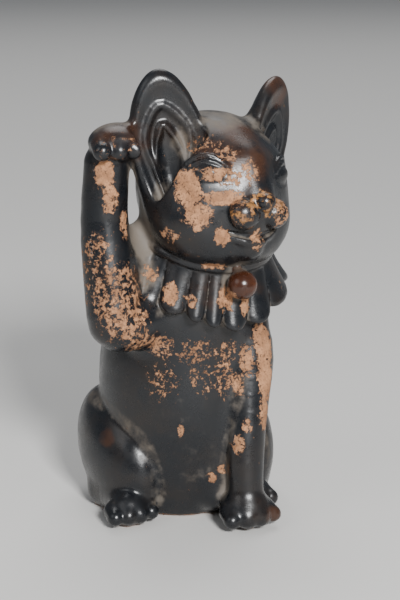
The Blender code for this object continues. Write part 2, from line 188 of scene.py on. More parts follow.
def join(a, b, blend):
    """Both masses, with a fillet about this wide."""
    closeness = np.maximum(blend - np.abs(a - b), 0) / blend
    return np.minimum(a, b) - closeness * closeness * blend / 4


def overlap_of(a, b, blend):
    """What lies in both masses."""
    return -join(-a, -b, blend)


def cut(a, b, blend):
    """The first mass without the second."""
    return -join(-a, b, blend)


def chain(p, points, radii):
    """Tapered rods from point to point."""
    links = zip(points, points[1:], radii, radii[1:])
    return np.min([rod(p, *link) for link in links], axis=0)


def spline(knots, count):
    """Points spread along a smooth curve through all the knots."""
    knots = np.array(knots, float)
    ends = np.vstack([2 * knots[0] - knots[1], knots, 2 * knots[-1] - knots[-2]])
    found = []
    for place in np.linspace(0, len(knots) - 1, count):
        first = min(int(place), len(knots) - 2)
        t = place - first
        a, b, c, d = ends[first : first + 4]
        found.append(b + t / 2 * (c - a + t * (2 * a - 5 * b + 4 * c - d + t * (3 * (b - c) + d - a))))
    return np.array(found)


def limb(p, points, radii, count=14):
    """A smooth limb whose middle line and thickness pass through these."""
    knots = spline(np.column_stack([points, radii]), count)
    return chain(p, list(knots[:, :3]), list(knots[:, 3]))


def arc(start, top, end, count=7):
    """Points on a smooth curve from start to end that passes through top."""
    start, top, end = (np.array(point, float) for point in (start, top, end))
    control = 2 * top - (start + end) / 2
    steps = np.linspace(0, 1, count)
    return [(1 - t) ** 2 * start + 2 * t * (1 - t) * control + t * t * end for t in steps]


def within(field, low, high, p, margin=8.0):
    """The field near its own box. Further off, the distance to the box stands in for it."""
    beyond = np.maximum(np.maximum(column(low) - p, p - column(high)), 0)
    distance = length(beyond)
    near = distance < margin
    if near.any():
        distance[near] = field(p[:, near])
    return distance


def value_noise(p, size, seed):
    """Smooth noise between -1 and 1, with lumps of this size."""
    q = p / size + seed * 17.3
    cell = np.floor(q)
    share = q - cell
    share = share * share * (3 - 2 * share)
    cell = cell.astype(np.int64)
    total = 0
    for corner in product((0, 1), repeat=3):
        i, j, k = (cell[axis] + corner[axis] for axis in range(3))
        mixed = (i * 73856093) ^ (j * 19349663) ^ (k * 83492791) ^ (seed * 2654435)
        mixed = (mixed ^ (mixed >> 13)) * 1274126177 & 0x7FFFFFFF
        value = (mixed ^ (mixed >> 16)) % 65536 / 32768 - 1
        weight = 1
        for axis in range(3):
            weight = weight * (share[axis] if corner[axis] else 1 - share[axis])
        total = total + weight * value
    return total.astype(np.float32)


# The masses of the figure


def trunk_parts(shrink=0.0):
    """Centres, radii and turns of the big rounded masses."""
    less = np.array((shrink, shrink, shrink))
    return [
        ((0, 5, 44), (29.5, 30, 52) - less, None),
        ((0, 8, 12), (27, 25, 26) - less, None),
        (NECK + (-0.5, 6, -18), (24.5, 22, 25) - less, None),
        (NECK, (20, 19, 15) - less, None),
        (HEAD + HEAD_TURN @ np.array((0, 0, 1)), (25, 25, 24) - less, HEAD_TURN),
    ]


def trunk(p, shrink=0.0):
    """The body, neck and head run together, and made this much smaller all round."""
    distance = None
    for centre, radii, turn in trunk_parts(shrink):
        mass = ball(p, centre, radii, turn)
        distance = mass if distance is None else join(distance, mass, 3 if turn is not None else 9)
    return distance


def toe_row(p, knuckle, count, spacing, reach, radius):
    """Short toes side by side in front of a paw, fanned a little."""
    distance = None
    for number in range(count):
        aside = number - (count - 1) / 2
        start = np.array(knuckle) + (aside * spacing, 0.25 * abs(aside), 0)
        end = start + np.array(reach) + (0.12 * aside * spacing, 0.9 * abs(aside), 0)
        toe = rod(p, start, end, radius, 0.92 * radius)
        distance = toe if distance is None else join(distance, toe, 1.2)
    return distance


def haunch(p, side):
    """A thigh with the long foot that lies under it."""
    x = side * HAUNCH_X - (0.6 if side == LEFT else 0)
    distance = ball(p, (x, 10, 20), (13.5, 26, 20), HAUNCH_TURN)
    knuckle = {RIGHT: (-28.4, -10.5, 5.4), LEFT: (15.4, -16.6, 5.0)}[side]
    foot = limb(p, [(x + side * 5, 10, 6), (x + side * 4, 2, 6), knuckle], [7.5, 7.2, 6.4], 6)
    toes = toe_row(p, knuckle, 4, 4.0, (0, -5.4, -1.0), 3.1)
    return join(distance, join(foot, toes, 2.0), 2.5)


def skull(p):
    """The round head with its cheeks, chin, muzzle and the bridge of the nose."""
    q = local(p, HEAD, HEAD_TURN)
    distance = ball(q, (0, 0, 1), (25, 25, 24))
    distance = join(distance, ball(q, (0, 4, 9), (20, 20, 15)), 8)
    for side in (LEFT, RIGHT):
        distance = join(distance, ball(q, (side * 11, -7, -8), (14, 16, 13)), 6)
    distance = join(distance, ball(q, (0, -12, -13), (17, 13.2, 9.8)), 6)
    distance = join(distance, ball(q, (0, -21, -1.5), (9.4, 7.8, 6.8)), 6)
    distance = join(distance, rod(q, (0, -18, 13.0), (0, -25.8, 3.4), 4.8, 3.2), 7)
    for side in (LEFT, RIGHT):
        distance = eye(distance, q, side)
    return mouth(snout(distance, q), q)


def eye(distance, q, side):
    """A slanting eyeball in its socket, between a double upper lid and a soft lower one."""
    q = q - column(EYE_SHIFT[side])
    turn = rotation(0, 0, side * 33)
    distance = cut(distance, ball(q, (side * 15.4, -19.0, 10.0), (6.8, 2.8, 3.9), turn), 1.6)
    distance = join(distance, ball(q, (side * 14.4, -16.6, 9.7), (5.3, 3.5, 3.1), turn), 0.5)
    lids = (
        (arc((20.4, -11.6, 11.6), (15.8, -15.7, 15.2), (10.0, -20.1, 12.4)), 0.85),
        (arc((19.8, -12.9, 10.6), (15.4, -17.1, 13.5), (10.2, -20.6, 10.9)), 0.8),
        (arc((19.4, -13.9, 9.0), (14.9, -18.1, 6.2), (10.5, -20.9, 9.0)), 0.6),
    )
    for points, radius in lids:
        placed = [(side * x, y, z) for x, y, z in points]
        shares = np.linspace(0, 1, len(placed))
        taper = [radius * (0.55 + 0.45 * sin(pi * share)) for share in shares]
        distance = join(distance, chain(q, placed, taper), 0.8)
    return distance


def snout(distance, q):
    """The nose between two round whisker pads."""
    for side in (LEFT, RIGHT):
        distance = join(distance, ball(q, (side * 6.0, -26.8, -1.5), (5.3, 5.0, 5.0)), 0.7)
    distance = cut(distance, rod(q, (-0.1, -32, 0), (-0.1, -29.5, -7), 0.7, 0.9), 0.9)
    distance = join(distance, ball(q, (-0.3, -29.8, 3.0), (3.4, 3.2, 3.2)), 0.6)
    for side in (LEFT, RIGHT):
        distance = join(distance, ball(q, (-0.3 + side * 3.4, -27.2, 2.8), (2.1, 2.1, 1.9)), 0.7)
        nostril = rod(q, (-0.3 + side * 1.6, -32.6, 1.6), (-0.4 + side * 3.1, -30.8, 1.0), 0.4, 0.55)
        distance = cut(distance, nostril, 0.6)
    return distance


def mouth(distance, q):
    """A smiling line below the pads, the lower lip and a small chin."""
    groove = arc((-11.6, -21.8, -7.4), (0.2, -28.0, -9.0), (11.6, -21.8, -6.6))
    lip = arc((-11.2, -21.4, -9.2), (0.2, -26.8, -11.0), (11.2, -21.4, -8.4))
    distance = join(distance, ball(q, (0.5, -24.0, -13.0), (4.6, 4.2, 4.6)), 2.2)
    distance = join(distance, chain(q, lip, [0.8, 1.1, 1.4, 1.5, 1.4, 1.1, 0.8]), 1.4)
    return cut(distance, chain(q, groove, [0.3, 0.6, 0.8, 0.8, 0.8, 0.6, 0.3]), 1.0)


def ear_leaf(p, side):
    """The thick outer leaf of an ear."""
    q = local(p, EAR[side], EAR_TURN[side])
    flare = rod(q, (-side * 10, 1.5, 0), (-side * 7.5, 0.5, 9), 3.6, 3.0)
    return join(ball(q, (0, 0, 0), (EAR_HALF_WIDTH[side], 6.3, 27)), flare, 4)


def ear_dish(p, side):
    """The hollow of an ear, with the arch that is raised inside it. Negative inside the hollow."""
    q = local(p, EAR[side], EAR_TURN[side])
    dish = ball(q, (0, -5.4, 4), (EAR_HALF_WIDTH[side], 4.6, 22))
    for top, spread, radius in ((15.5, 7.2, 0.8), (9.0, 4.0, 0.7)):
        leg = [(spread, -1.6, top - 9), (0.8 * spread, -2.6, top - 20), (0.5 * spread, -4.6, -15)]
        arch = [(side * x, y, z) for x, y, z in reversed(leg)] + [(side * 0.8, -1.4, top)]
        arch += [(-side * x, y, z) for x, y, z in leg]
        taper = [0.3, 0.7, 1, 1, 1, 0.7, 0.3]
        ridge = limb(q, arch, [radius * share for share in taper], 30)
        dish = cut(dish, ridge, 2.2)
    trough = limb(q, [(side * 1, -3.0, 3), (side * 1, -2.8, -6), (0, -4.6, -15)], [1.6, 2.2, 1.8], 8)
    return join(dish, trough, 2.2)


def raised_foreleg(p):
    """The arm held up beside the head, with the web that joins it to the shoulder."""
    path = [
        PAW + (15, 3, -60),
        PAW + (0.3, -2, -62),
        PAW + (-1.8, -0.6, -52),
        PAW + (-2.5, 3, -29),
        PAW + (-1.5, 3, -9),
    ]
    roll = limb(p, path, [10.5, 9.4, 9.0, 7.9, 7.4])
    web = ball(p, PAW + (12, 5, -50), (10, 7.5, 21))
    return join(roll, web, 6)


def raised_paw(p):
    """The paw bent forward over the wrist."""
    palm = ball(p, PAW + (1.4, 0, -1.6), (10.0, 9.0, 6.0))
    toes = toe_row(p, PAW + (1.6, -3.0, -2.2), 4, 4.9, (0, -4.6, -1.4), 3.3)
    return join(palm, toes, 1.2)


def standing_foreleg(p):
    """The straight leg, its paw and the clay web behind it."""
    path = [
        FOOT + (4.5, 19, 69.5),
        FOOT + (6.5, 13, 53.5),
        FOOT + (4, 7, 35.5),
        FOOT + (1, 2.5, 17.5),
        FOOT + (0.5, 0.5, 4),
    ]
    roll = limb(p, path, [9.5, 9.5, 7.4, 6.2, 6.0])
    web = limb(p, [FOOT + (1, 15, 52), FOOT + (-3, 13, 28), FOOT + (-5, 13, 3)], [5.5, 6.5, 7.0], 8)
    distance = join(roll, web, 2.6)
    paw = ball(p, FOOT, (9.0, 8.6, 6.3))
    toes = toe_row(p, FOOT + (0, -1.0, -0.4), 4, 4.7, (0, -5.4, -1.2), 3.15)
    return join(distance, join(paw, toes, 2.2), 3)


def collar_band(p):
    """A thin roll of clay laid round the neck."""
    q = local(p, COLLAR, COLLAR_TURN)
    round_neck = (np.sqrt((q[0] / 22.4) ** 2 + (q[1] / 21.4) ** 2) - 1) * 21.9
    return np.sqrt(round_neck**2 + (q[2] * 0.85) ** 2) - 1.35


def collar_frill(p):
    """A strip of clay pinched by hand into uneven pleats that flare below the band."""
    q = local(p, COLLAR, COLLAR_TURN)
    angle = np.arctan2(q[0], -q[1])
    radius = np.sqrt(q[0] ** 2 + (q[1] * 1.03) ** 2)
    drop = np.clip(-q[2] / 16, 0, 1.2)
    turns = 8.5 * angle / pi + 0.16 * np.sin(3 * angle + 1) + 0.1 * np.sin(7 * angle + 2.4)
    turns = turns + 0.4 * drop * np.sin(2 * angle + 0.8)
    crest = np.abs(np.sin(pi * turns)) ** 0.6
    lean = 0.5 + 0.5 * np.sin(5 * angle + 0.6)
    flare = 10.2 + 1.5 * np.sin(angle - 0.3)
    outer = 21.4 + flare * drop**1.1 + (0.6 + (1.9 + 1.0 * lean) * drop) * (crest - 0.75)
    hem = 15.0 + 1.4 * crest + 1.2 * np.sin(4 * angle + 1.3) + 1.4 * np.cos(angle + 0.4)
    side_face = (radius - outer) * 0.72
    return overlap_of(overlap_of(side_face, (-q[2] - hem) * 0.9, 2.4), q[2] + 0.5, 1.6)


def bell(p):
    """A ball bell with a sound slit down its front and a hanging loop."""
    distance = ball(p, BELL, (BELL_RADIUS,) * 3)
    slit = rod(p, BELL + (-1.6, -BELL_RADIUS, 0.4), BELL + (-1.3, -BELL_RADIUS + 0.5, -3.4), 0.35, 0.35)
    distance = cut(distance, slit, 0.5)
    return join(distance, rod(p, BELL + (0, 2.4, 3.6), BELL + (0, 5.6, 6.2), 1.5, 1.3), 1.0)


def tail(p):
    """A short bob up the rump."""
    path = [TAIL + (0, -1.5, -12), TAIL + (2.6, 0.2, 0), TAIL + (-3.4, -4, 11.6)]
    return limb(p, path, [5.3, 5.6, 4.8], 8)


def hollow(p, whole):
    """The space left by pressing the clay into a mould, and the opening that the base slab closes."""
    return np.maximum(trunk(p, WALL), whole + 0.6 * WALL)


def vent(p):
    """The round hole through the base slab."""
    across = np.sqrt((p[0] - VENT[0]) ** 2 + (p[1] - VENT[1]) ** 2) - VENT_RADIUS
    return np.maximum(across, p[2] - SLAB_TOP - 2)


def pressed_body(p):
    """What comes out of the two mould halves: the trunk with its haunches and the face."""
    distance = trunk(p)
    for side, (low, high) in HAUNCH_BOX.items():
        distance = join(distance, within(lambda near: haunch(near, side), low, high, p), 1.4)
    return join(distance, within(skull, *SKULL_BOX, p), 2.5)


# Node, field, and the width of its fillet against the rest
SMALL_MASSES = {
    "raised_foreleg": (raised_foreleg, 4.0),
    "raised_paw": (raised_paw, 1.6),
    "standing_foreleg": (standing_foreleg, 3.5),
    "right_ear": (lambda p: ear_leaf(p, RIGHT), 3.0),
    "left_ear": (lambda p: ear_leaf(p, LEFT), 3.0),
    "tail": (tail, 3.0),
    "collar_frill": (collar_frill, 1.0),
    "collar_band": (collar_band, 0.7),
    "bell": (bell, 0.5),
}


def masses_at(p):
    """Each mass's own distance, and the distance to all of them with their fillets."""
    own = {"body": pressed_body(p)}
    whole = own["body"]
    for name, (field, blend) in SMALL_MASSES.items():
        low, high = BOXES[name]
        own[name] = within(field, low - 2, high + 2, p)
        whole = join(whole, own[name], blend)
    for side, node in ((LEFT, "left_ear"), (RIGHT, "right_ear")):
        low, high = BOXES[node]
        dish = within(lambda near: ear_dish(near, side), low - 8, high + 4, p)
        whole = cut(whole, dish, 1.4)
    return own, whole


def stood(p, whole):
    """The figure with its underside cut flat."""
    return overlap_of(whole, 0.3 - p[2], 1.2)


def figure(p):
    """The whole cat as one field."""
    return stood(p, masses_at(p)[1])


def share_of(name):
    """The field of one piece: the figure where this piece's mass is the deepest."""

    def field(p):
        own, whole = masses_at(p)
        if name == "base_slab":
            slab = np.maximum(hollow(p, whole) - 0.3, p[2] - SLAB_TOP)
            return np.maximum(np.maximum(slab, 0.5 - p[2]), -vent(p))
        key = "body" if name in ("front_shell", "rear_shell") else name
        others = np.min([distance for other, distance in own.items() if other != key], axis=0)
        claim = (own[key] - others) / 2
        if name == "front_shell":
            claim = np.maximum(claim, p[1] - SEAM_Y)
        if name == "rear_shell":
            claim = np.maximum(claim, SEAM_Y - p[1])
        share = np.maximum(stood(p, whole) + 0.5 * np.maximum(claim, 0), claim - OVERLAP)
        if key == "body":
            share = np.maximum(share, -hollow(p, whole))
        return share

    return field


# Meshing


def in_parts(field, points):
    """The field at many points, a part at a time so that memory stays small."""
    parts = np.array_split(points, 1 + points.shape[1] // POINTS_AT_ONCE, axis=1)
    return np.concatenate([field(part) for part in parts])


def sampled(field, low, high, step):
    """The field on a grid, true near its surface and rough elsewhere, with the grid's first point."""
    side = 2**LEVELS
    count = np.ceil((high - low) / (step * side)).astype(int)
    grid = np.empty(count * side, np.float32)
    cells = np.indices(count).reshape(3, -1)
    for level in range(LEVELS + 1):
        block = 2 ** (LEVELS - level)
        size = step * block
        centres = column(low) + (cells + 0.5).astype(np.float32) * size
        values = in_parts(field, centres)
        shape = [extent for n in count * side // block for extent in (n, block)]
        blocks = grid.reshape(shape).transpose(0, 2, 4, 1, 3, 5)
        blocks[cells[0], cells[1], cells[2]] = values[:, None, None, None]
        if block == 1:
            break
        # The surface may pass through a cell whose middle is this near it
        near = cells[:, np.abs(values) < size * 1.1 + 2.2 * step]
        eighths = [near * 2 + column(corner).astype(int) for corner in product((0, 1), repeat=3)]
        cells = np.concatenate(eighths, axis=1)
    for axis in range(3):
        edge = grid.swapaxes(0, axis)
        edge[0] = edge[-1] = np.maximum(edge[0], step)
    return grid, low + step / 2


def surface_net(grid, first, step):
    """Points (3 x N) and four-sided faces of the surface where the grid's field is zero."""
    inside = grid < 0
    shape = np.array(grid.shape) - 1
    corners = list(product((0, 1), repeat=3))

    def shifted(array, corner):
        return array[tuple(slice(c, c + n) for c, n in zip(corner, shape))]

    filled = sum(shifted(inside, corner).astype(np.uint8) for corner in corners)
    mixed = (filled > 0) & (filled < 8)
    number = np.full(mixed.shape, -1, np.int32)
    number[mixed] = np.arange(mixed.sum())
    cells = np.argwhere(mixed).T
    total = np.zeros(cells.shape, np.float32)
    hits = np.zeros(cells.shape[1], np.float32)
    for start in corners:
        for axis in range(3):
            if start[axis]:
                continue
            step_along = np.eye(3, dtype=int)[axis]
            a = grid[tuple(cells + column(start).astype(int))]
            b = grid[tuple(cells + column(start + step_along).astype(int))]
            crossing = (a < 0) != (b < 0)
            share = np.where(crossing, a / np.where(crossing, a - b, 1), 0)
            total += (column(start) + column(step_along) * share) * crossing
            hits += crossing
    points = column(first) + (cells + total / hits) * step
    faces = []
    for axis in range(3):
        u, v = (axis + 1) % 3, (axis + 2) % 3
        here = inside.take(range(shape[axis]), axis)
        there = inside.take(range(1, shape[axis] + 1), axis)
        edges = np.argwhere(here != there)
        across = edges[:, (u, v)]
        edges = edges[((across > 0) & (across < shape[[u, v]])).all(axis=1)]
        to_u, to_v = np.eye(3, dtype=int)[u], np.eye(3, dtype=int)[v]
        ring = [number[tuple((edges - back).T)] for back in (to_u + to_v, to_v, 0 * to_u, to_u)]
        quads = np.stack(ring, axis=1)
        outward = here[tuple(edges.T)]
        faces.append(np.where(outward[:, None], quads, quads[:, ::-1]))
    return points, np.concatenate(faces)


def gradient(field, p, reach=0.12):
    """The field's slope at each point."""
    sides = []
    for axis in range(3):
        offset = column(np.eye(3)[axis] * reach)
        sides.append(field(p + offset) - field(p - offset))
    return np.stack(sides) / (2 * reach)


def hand_made(p):
    """The small unevenness of a pressed and smoothed figure."""
    return 0.22 * value_noise(p, 11.0, 3) + 0.09 * value_noise(p, 3.4, 5)


def settled(field, p, step):
    """The points moved onto the field's surface, no more than half a step each time."""
    for _ in range(2):
        value = field(p) + hand_made(p)
        slope = gradient(field, p)
        move = -value * slope / (np.sum(slope * slope, axis=0) + 0.05)
        far = length(move)
        p = p + move * np.minimum(1, 0.5 * step / (far + TINY))
    return p


def largest_body(points, faces):
    """Without the loose crumbs that a share may have."""
    label = np.arange(points.shape[1])
    while True:
        lowest = label.copy()
        face_label = label[faces].min(axis=1)
        for side in range(4):
            np.minimum.at(lowest, faces[:, side], face_label)
        lowest = lowest[lowest]
        if (lowest == label).all():
            break
        label = lowest
    kept = label == np.bincount(label).argmax()
    number = np.cumsum(kept) - 1
    return points[:, kept], number[faces[kept[faces[:, 0]]]]


# Wear, dust and tint, kept at each point for the materials to read


def blob_field(p, blobs):
    """How strongly each point lies in any of the patches: full out to 0.7 radii, and nothing past 1.4."""
    strongest = np.zeros(p.shape[1], np.float32)
    for centre, radii, strength in blobs:
        away = length((p - column(centre)) / column(radii))
        strongest = np.maximum(strongest, strength * np.clip(1.4 - away, 0, 0.7) / 0.7)
    return strongest


def recess(p, normal):
    """How far each point lies in a fold, from 0 on open surfaces to 1."""
    hidden = 0
    for reach in (2.0, 4.0, 7.0):
        hidden = hidden + np.clip(1 - figure(p + normal * reach) / reach, 0, 1)
    return hidden / 3


# Materials

AMBER = (0.040, 0.017, 0.009)
GILT = (0.33, 0.15, 0.045)
DUST_COOL = (0.115, 0.108, 0.098)
DUST_WARM = (0.15, 0.115, 0.082)
# The undercoat colour also darkens the bare clay's folds and holes as painted shade
UNDERCOAT_AND_CLAY_SHADE = (0.045, 0.020, 0.010)
CLAY_DARK = (0.25, 0.115, 0.052)
CLAY_PALE = (0.44, 0.218, 0.105)
CLAY_GRIME = (0.11, 0.052, 0.028)
FLOOR_GREY = (0.62, 0.61, 0.59, 1)

# Noise scales of the coat, per metre
FLAKE_SCALE = 560
MOTTLE_SCALE = 70
GRAIN_SCALE = 1700
SMUDGE_SCALE = 190

# How far noise moves the wear, and the wear over which the coat thins out and then the clay shows
WEAR_SWAY = 3.7
EDGE_RANGE = (0.53, 0.59)
BARE_RANGE = (0.60, 0.64)


def linked(tree, kind, inputs=None, **settings):
    """A node of this kind, with its inputs given as values or as the sockets that feed them."""
    node = tree.nodes.new(kind)
    for name, value in settings.items():
        setattr(node, name, value)
    for key, value in (inputs or {}).items():
        if isinstance(value, bpy.types.NodeSocket):
            tree.links.new(value, node.inputs[key])
        else:
            node.inputs[key].default_value = value
    return node


def noise(tree, scale, detail, roughness, distortion=0.0):
    """A cloudy texture, with its scale counted per metre."""
    inputs = {
        "Vector": linked(tree, "ShaderNodeTexCoord").outputs["Object"],
        "Scale": scale,
        "Detail": detail,
        "Roughness": roughness,
        "Distortion": distortion,
    }
    return linked(tree, "ShaderNodeTexNoise", inputs).outputs["Fac"]


def attribute(tree, name):
    """A value that the mesh keeps at each point."""
    return linked(tree, "ShaderNodeAttribute", attribute_name=name).outputs["Fac"]


def worked_out(tree, operation, a, b=0.0, c=0.0):
    """The result of a Math node."""
    return linked(tree, "ShaderNodeMath", {0: a, 1: b, 2: c}, operation=operation).outputs[0]


def swayed(tree, level, texture, amount):
    """The level, raised and lowered by this much of a texture whose middle is 0.5."""
    centred = worked_out(tree, "SUBTRACT", texture, 0.5)
    return worked_out(tree, "MULTIPLY_ADD", centred, amount, level)


def ramped(tree, value, low, high, to_low=0.0, to_high=1.0):
    """The value from low to high, spread smoothly over another range."""
    inputs = {"Value": value, "From Min": low, "From Max": high, "To Min": to_low, "To Max": to_high}
    return linked(tree, "ShaderNodeMapRange", inputs, interpolation_type="SMOOTHSTEP").outputs["Result"]


def blended(tree, share, a, b):
    """The second colour over the first, as far as share says."""
    node = linked(tree, "ShaderNodeMix", {0: share}, data_type="RGBA")
    for index, value in ((6, a), (7, b)):
        if isinstance(value, bpy.types.NodeSocket):
            tree.links.new(value, node.inputs[index])
        else:
            node.inputs[index].default_value = (*value, 1)
    return node.outputs[2]


def new_material(name):
    """A material with its node tree and its shader."""
    material = bpy.data.materials.new(name)
    material.use_nodes = True
    tree = material.node_tree
    return material, tree, tree.nodes["Principled BSDF"]


def raise_surface(tree, shader, height, strength, distance):
    """Fine relief from this height, over this distance in metres."""
    inputs = {"Strength": strength, "Distance": distance, "Height": height}
    bump = linked(tree, "ShaderNodeBump", inputs)
    tree.links.new(bump.outputs["Normal"], shader.inputs["Normal"])


def clay_colour(tree, patches, patch_range, grain, grain_range):
    """Fired clay, paler in patches and darker in its grain."""
    clay = blended(tree, ramped(tree, patches, *patch_range), CLAY_DARK, CLAY_PALE)
    return blended(tree, ramped(tree, grain, *grain_range), clay, CLAY_GRIME)


def tinted_coat(tree, dark, warm, mottle, soft, ragged):
    """The lacquer's own colour, with its brown and gold tints."""
    colour = blended(tree, ramped(tree, mottle, 0.42, 0.68), dark, warm)
    amber = swayed(tree, attribute(tree, "amber"), mottle, 2.0)
    colour = blended(tree, ramped(tree, amber, 0.25, 1.0), colour, AMBER)
    gilt = swayed(tree, attribute(tree, "gilt"), soft, 2.6)
    gilt = swayed(tree, gilt, ragged, 2.2)
    return blended(tree, ramped(tree, gilt, 0.62, 0.9), colour, GILT)


def coat_material(name, dark, warm, gloss, dust_share=1.0):
    """Aged lacquer over fired clay: it has flaked where worn, and dust lies in its folds."""
    material, tree, shader = new_material(name)
    ragged = noise(tree, FLAKE_SCALE, 12, 0.78, 0.2)
    mottle = noise(tree, MOTTLE_SCALE, 5, 0.62)
    grain = noise(tree, GRAIN_SCALE, 4, 0.6)
    soft = noise(tree, SMUDGE_SCALE, 6, 0.66)

    wear = swayed(tree, attribute(tree, "worn"), ragged, WEAR_SWAY)
    bare = ramped(tree, wear, *BARE_RANGE)
    edge = ramped(tree, wear, *EDGE_RANGE)
    dust_and_fold_shade = swayed(tree, attribute(tree, "dust"), soft, 1.5)
    dust_and_fold_shade = ramped(tree, dust_and_fold_shade, 0.28, 1.0, 0.0, 0.9 * dust_share)

    colour = tinted_coat(tree, dark, warm, mottle, soft, ragged)
    colour = blended(tree, dust_and_fold_shade, colour, blended(tree, mottle, DUST_COOL, DUST_WARM))
    colour = blended(tree, edge, colour, UNDERCOAT_AND_CLAY_SHADE)
    colour = blended(tree, bare, colour, clay_colour(tree, soft, (0.35, 0.65), grain, (0.5, 0.72)))
    tree.links.new(colour, shader.inputs["Base Color"])

    roughness = ramped(tree, soft, 0.3, 0.7, gloss, gloss + 0.14)
    roughness = worked_out(tree, "MULTIPLY_ADD", dust_and_fold_shade, 0.42, roughness)
    matte = worked_out(tree, "MAXIMUM", bare, worked_out(tree, "MULTIPLY", edge, 0.6))
    matte = worked_out(tree, "MULTIPLY", matte, 0.86)
    tree.links.new(worked_out(tree, "MAXIMUM", roughness, matte), shader.inputs["Roughness"])

    height = worked_out(tree, "MULTIPLY_ADD", bare, -1.0, worked_out(tree, "MULTIPLY", grain, 0.35))
    height = worked_out(tree, "MULTIPLY_ADD", soft, 0.5, height)
    raise_surface(tree, shader, height, 0.55, 0.00018)
    return material


def clay_material(name):
    """Bare fired clay, handled and a little grimed, and darkened with painted shade in its folds and vent
    hole.
    """
    material, tree, shader = new_material(name)
    coarse = noise(tree, 120, 8, 0.65)
    grain = noise(tree, 1900, 4, 0.65)
    colour = clay_colour(tree, coarse, (0.38, 0.64), grain, (0.52, 0.85))
    # Painted shade in the folds and the vent hole, with grime on faces that look up: the clay is darkened
    # towards the undercoat colour where the dust value is high
    dust_and_fold_shade = worked_out(tree, "MULTIPLY", attribute(tree, "dust"), 0.5)
    tree.links.new(blended(tree, dust_and_fold_shade, colour, UNDERCOAT_AND_CLAY_SHADE), shader.inputs["Base Color"])
    tree.links.new(ramped(tree, grain, 0.3, 0.7, 0.78, 0.94), shader.inputs["Roughness"])
    height = worked_out(tree, "MULTIPLY_ADD", coarse, 1.5, grain)
    raise_surface(tree, shader, height, 0.5, 0.0002)
    return material


# Material slot: its material
MATERIALS = {
    "lacquer": coat_material("black_lacquer", (0.0052, 0.0062, 0.0080), (0.0110, 0.0088, 0.0080), 0.23),
    "bell_glaze": coat_material("brown_bell_glaze", (0.035, 0.011, 0.005), (0.07, 0.022, 0.008), 0.13, 0.5),
    "bare_clay": clay_material("fired_clay"),
}


# Pieces

# Room round a node's box for the fillets of its piece
GRID_MARGIN = 5
# Dust gathers in folds deeper than the start and on faces that look up; on the bare clay the same measure
# darkens the folds and holes as painted shade
FOLD_START = 0.36
FOLD_DUST_AND_SHADE = 1.4
TOP_DUST = 0.25
# Clay is bare this deep inside a joint and this near the ground
FULLY_WORN = 1.2
JOINT_DEPTH = 0.9
# A point this near the field's surface is on the skin, and not on a joint or inside the hollow
SKIN_DEPTH = 0.35


def sculpted_piece(name):
    """The visible piece that stands for one CAD node."""
    field = share_of(name)
    low, high = BOXES[name]
    step = STEP * (FINE_SHARE if name in FINE_PIECES else 1)
    grid, first = sampled(field, low - GRID_MARGIN, high + GRID_MARGIN, step)
    points, faces = largest_body(*surface_net(grid, first, step))
    points = settled(field, points, step)
    mesh = bpy.data.meshes.new(name + "_form")
    mesh.vertices.add(points.shape[1])
    mesh.vertices.foreach_set("co", (points.T / MM_PER_M).astype(np.float32).ravel())
    mesh.loops.add(faces.size)
    mesh.loops.foreach_set("vertex_index", faces.astype(np.int32).ravel())
    mesh.polygons.add(len(faces))
    mesh.polygons.foreach_set("loop_start", np.arange(0, faces.size, 4, dtype=np.int32))
    mesh.polygons.foreach_set("loop_total", np.full(len(faces), 4, np.int32))
    mesh.update(calc_edges=True)
    mesh.validate()
    finish_surface(mesh, points)
    piece = bpy.data.objects.new(name + "_visible", mesh)
    bpy.context.scene.collection.objects.link(piece)
    mesh.materials.append(MATERIALS[SLOTS[name]])
    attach(piece, "root")
    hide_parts(name)
    return piece


def finish_surface(mesh, points):
    """Smooth shading that follows the field, and what each point's place says of its wear."""
    count = points.shape[1]
    flat = np.empty(count * 3, np.float32)
    mesh.vertex_normals.foreach_get("vector", flat)
    normal = flat.reshape(-1, 3).T
    value = figure(points)
    slope = gradient(figure, points)
    slope = slope / (length(slope) + TINY)
    # The field's slope is finer than the mesh's normals, but it holds only on the figure's own skin
    outside = (np.abs(value + hand_made(points)) < SKIN_DEPTH) & ((slope * normal).sum(0) > 0.3)
    buried = (value < -JOINT_DEPTH) | (points[2] < JOINT_DEPTH)
    normal = np.where(outside, slope, normal)
    mesh.polygons.foreach_set("use_smooth", np.ones(len(mesh.polygons), bool))
    mesh.normals_split_custom_set_from_vertices(normal.T.tolist())
    folded = recess(points, normal)
    facing_up = np.clip(normal[2], 0, 1)
    dust_and_shade_measure = np.clip((folded - FOLD_START) * FOLD_DUST_AND_SHADE, 0, 1) + TOP_DUST * facing_up**2
    values = {
        "worn": np.where(buried, FULLY_WORN, blob_field(points, WORN)),
        # Pale dust on the lacquer; on the bare clay the same value is painted shade in folds and holes
        "dust": dust_and_shade_measure + blob_field(points, DUSTY),
        "amber": blob_field(points, BROWNED),
        "gilt": blob_field(points, GILDED),
    }
    for name, value in values.items():
        layer = mesh.attributes.new(name, "FLOAT", "POINT")
        layer.data.foreach_set("value", value.astype(np.float32))


def beside(anchor, *patches):
    """Patches given as place from the anchor, radii and strength."""
    return [(anchor + np.array(place), radii, strength) for place, radii, strength in patches]


def trail(anchor, points, radius, strength, count=36):
    """Patches close together along a smooth line."""
    radii = (radius,) * 3
    return [(anchor + place, radii, strength) for place in spline(points, count)]


